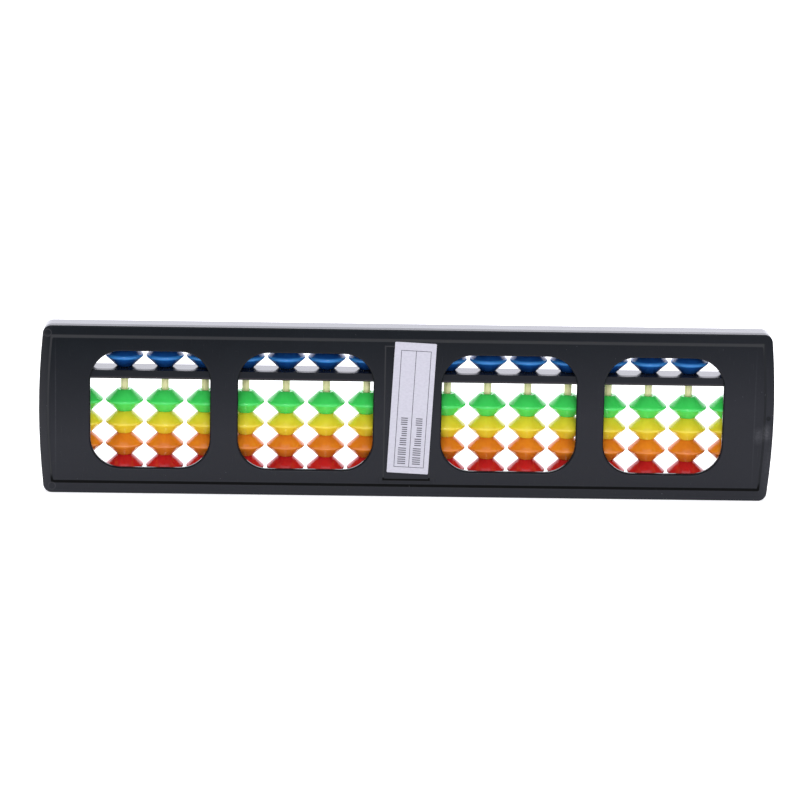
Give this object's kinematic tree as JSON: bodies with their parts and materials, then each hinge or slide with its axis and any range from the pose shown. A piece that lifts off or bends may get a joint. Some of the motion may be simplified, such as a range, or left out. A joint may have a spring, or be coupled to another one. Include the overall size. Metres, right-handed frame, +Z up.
{
  "type": "abacus",
  "caption": "Soroban-style abacus: slim dark frame with a moulded back cover, a dividing beam, and biconical coloured beads that slide on bamboo rods",
  "frame": {"origin": "middle of the base: the plane that the lower long edge stands on, half way along the length and half way through the depth with the beads", "axes": "+X along the frame's length, +Y from the back cover towards the bead side, +Z up across the frame from the earth beads to the heaven beads"},
  "size_m": [0.266, 0.0167, 0.062],
  "materials": {
    "black_plastic": "smooth moulded black styrene, slightly scuffed",
    "bamboo": "planed bamboo, fine lengthwise grain",
    "bead_blue": "polished moulded plastic",
    "bead_green": "polished moulded plastic",
    "bead_yellow": "polished moulded plastic",
    "bead_orange": "polished moulded plastic",
    "bead_red": "polished moulded plastic",
    "label_paper": "coated paper label with printed ruling",
    "label_ink": "grey printing ink",
    "unit_dot_ink": "white inlay"
  },
  "bodies": {
    "frame": {"back_cover": "black_plastic", "front_frame": "black_plastic", "name_label": "label_paper", "unit_dots": "unit_dot_ink", "rod_01": "bamboo", "rod_02": "bamboo", "rod_03": "bamboo", "rod_04": "bamboo", "rod_05": "bamboo", "rod_06": "bamboo", "rod_07": "bamboo", "rod_08": "bamboo", "rod_09": "bamboo", "rod_10": "bamboo", "rod_11": "bamboo", "rod_12": "bamboo", "rod_13": "bamboo", "rod_14": "bamboo", "rod_15": "bamboo", "rod_16": "bamboo", "rod_17": "bamboo"},
    "heaven_01": {"heaven_bead_01": "bead_blue"},
    "heaven_02": {"heaven_bead_02": "bead_blue"},
    "heaven_03": {"heaven_bead_03": "bead_blue"},
    "heaven_04": {"heaven_bead_04": "bead_blue"},
    "heaven_05": {"heaven_bead_05": "bead_blue"},
    "heaven_06": {"heaven_bead_06": "bead_blue"},
    "heaven_07": {"heaven_bead_07": "bead_blue"},
    "heaven_08": {"heaven_bead_08": "bead_blue"},
    "heaven_09": {"heaven_bead_09": "bead_blue"},
    "heaven_10": {"heaven_bead_10": "bead_blue"},
    "heaven_11": {"heaven_bead_11": "bead_blue"},
    "heaven_12": {"heaven_bead_12": "bead_blue"},
    "heaven_13": {"heaven_bead_13": "bead_blue"},
    "heaven_14": {"heaven_bead_14": "bead_blue"},
    "heaven_15": {"heaven_bead_15": "bead_blue"},
    "heaven_16": {"heaven_bead_16": "bead_blue"},
    "heaven_17": {"heaven_bead_17": "bead_blue"},
    "earth_01": {"earth_beads_01": "bead_orange"},
    "earth_02": {"earth_beads_02": "bead_orange"},
    "earth_03": {"earth_beads_03": "bead_orange"},
    "earth_04": {"earth_beads_04": "bead_orange"},
    "earth_05": {"earth_beads_05": "bead_orange"},
    "earth_06": {"earth_beads_06": "bead_orange"},
    "earth_07": {"earth_beads_07": "bead_orange"},
    "earth_08": {"earth_beads_08": "bead_orange"},
    "earth_09": {"earth_beads_09": "bead_orange"},
    "earth_10": {"earth_beads_10": "bead_orange"},
    "earth_11": {"earth_beads_11": "bead_orange"},
    "earth_12": {"earth_beads_12": "bead_orange"},
    "earth_13": {"earth_beads_13": "bead_orange"},
    "earth_14": {"earth_beads_14": "bead_orange"},
    "earth_15": {"earth_beads_15": "bead_orange"},
    "earth_16": {"earth_beads_16": "bead_orange"},
    "earth_17": {"earth_beads_17": "bead_orange"}
  },
  "joints": [
    {"name": "heaven_slide_01", "type": "slide", "parent": "frame", "child": "heaven_01", "axis": [0, 0, 1], "range_m": [0, 0.00425]},
    {"name": "heaven_slide_02", "type": "slide", "parent": "frame", "child": "heaven_02", "axis": [0, 0, 1], "range_m": [0, 0.00425]},
    {"name": "heaven_slide_03", "type": "slide", "parent": "frame", "child": "heaven_03", "axis": [0, 0, 1], "range_m": [0, 0.00425]},
    {"name": "heaven_slide_04", "type": "slide", "parent": "frame", "child": "heaven_04", "axis": [0, 0, 1], "range_m": [0, 0.00425]},
    {"name": "heaven_slide_05", "type": "slide", "parent": "frame", "child": "heaven_05", "axis": [0, 0, 1], "range_m": [0, 0.00425]},
    {"name": "heaven_slide_06", "type": "slide", "parent": "frame", "child": "heaven_06", "axis": [0, 0, 1], "range_m": [0, 0.00425]},
    {"name": "heaven_slide_07", "type": "slide", "parent": "frame", "child": "heaven_07", "axis": [0, 0, 1], "range_m": [0, 0.00425]},
    {"name": "heaven_slide_08", "type": "slide", "parent": "frame", "child": "heaven_08", "axis": [0, 0, 1], "range_m": [0, 0.00425]},
    {"name": "heaven_slide_09", "type": "slide", "parent": "frame", "child": "heaven_09", "axis": [0, 0, 1], "range_m": [0, 0.00425]},
    {"name": "heaven_slide_10", "type": "slide", "parent": "frame", "child": "heaven_10", "axis": [0, 0, 1], "range_m": [0, 0.00425]},
    {"name": "heaven_slide_11", "type": "slide", "parent": "frame", "child": "heaven_11", "axis": [0, 0, 1], "range_m": [0, 0.00425]},
    {"name": "heaven_slide_12", "type": "slide", "parent": "frame", "child": "heaven_12", "axis": [0, 0, 1], "range_m": [0, 0.00425]},
    {"name": "heaven_slide_13", "type": "slide", "parent": "frame", "child": "heaven_13", "axis": [0, 0, 1], "range_m": [0, 0.00425]},
    {"name": "heaven_slide_14", "type": "slide", "parent": "frame", "child": "heaven_14", "axis": [0, 0, 1], "range_m": [0, 0.00425]},
    {"name": "heaven_slide_15", "type": "slide", "parent": "frame", "child": "heaven_15", "axis": [0, 0, 1], "range_m": [0, 0.00425]},
    {"name": "heaven_slide_16", "type": "slide", "parent": "frame", "child": "heaven_16", "axis": [0, 0, 1], "range_m": [0, 0.00425]},
    {"name": "heaven_slide_17", "type": "slide", "parent": "frame", "child": "heaven_17", "axis": [0, 0, 1], "range_m": [0, 0.00425]},
    {"name": "earth_slide_01", "type": "slide", "parent": "frame", "child": "earth_01", "axis": [0, 0, 1], "range_m": [0, 0.0052]},
    {"name": "earth_slide_02", "type": "slide", "parent": "frame", "child": "earth_02", "axis": [0, 0, 1], "range_m": [0, 0.0052]},
    {"name": "earth_slide_03", "type": "slide", "parent": "frame", "child": "earth_03", "axis": [0, 0, 1], "range_m": [0, 0.0052]},
    {"name": "earth_slide_04", "type": "slide", "parent": "frame", "child": "earth_04", "axis": [0, 0, 1], "range_m": [0, 0.0052]},
    {"name": "earth_slide_05", "type": "slide", "parent": "frame", "child": "earth_05", "axis": [0, 0, 1], "range_m": [0, 0.0052]},
    {"name": "earth_slide_06", "type": "slide", "parent": "frame", "child": "earth_06", "axis": [0, 0, 1], "range_m": [0, 0.0052]},
    {"name": "earth_slide_07", "type": "slide", "parent": "frame", "child": "earth_07", "axis": [0, 0, 1], "range_m": [0, 0.0052]},
    {"name": "earth_slide_08", "type": "slide", "parent": "frame", "child": "earth_08", "axis": [0, 0, 1], "range_m": [0, 0.0052]},
    {"name": "earth_slide_09", "type": "slide", "parent": "frame", "child": "earth_09", "axis": [0, 0, 1], "range_m": [0, 0.0052]},
    {"name": "earth_slide_10", "type": "slide", "parent": "frame", "child": "earth_10", "axis": [0, 0, 1], "range_m": [0, 0.0052]},
    {"name": "earth_slide_11", "type": "slide", "parent": "frame", "child": "earth_11", "axis": [0, 0, 1], "range_m": [0, 0.0052]},
    {"name": "earth_slide_12", "type": "slide", "parent": "frame", "child": "earth_12", "axis": [0, 0, 1], "range_m": [0, 0.0052]},
    {"name": "earth_slide_13", "type": "slide", "parent": "frame", "child": "earth_13", "axis": [0, 0, 1], "range_m": [0, 0.0052]},
    {"name": "earth_slide_14", "type": "slide", "parent": "frame", "child": "earth_14", "axis": [0, 0, 1], "range_m": [0, 0.0052]},
    {"name": "earth_slide_15", "type": "slide", "parent": "frame", "child": "earth_15", "axis": [0, 0, 1], "range_m": [0, 0.0052]},
    {"name": "earth_slide_16", "type": "slide", "parent": "frame", "child": "earth_16", "axis": [0, 0, 1], "range_m": [0, 0.0052]},
    {"name": "earth_slide_17", "type": "slide", "parent": "frame", "child": "earth_17", "axis": [0, 0, 1], "range_m": [0, 0.0052]}
  ]
}
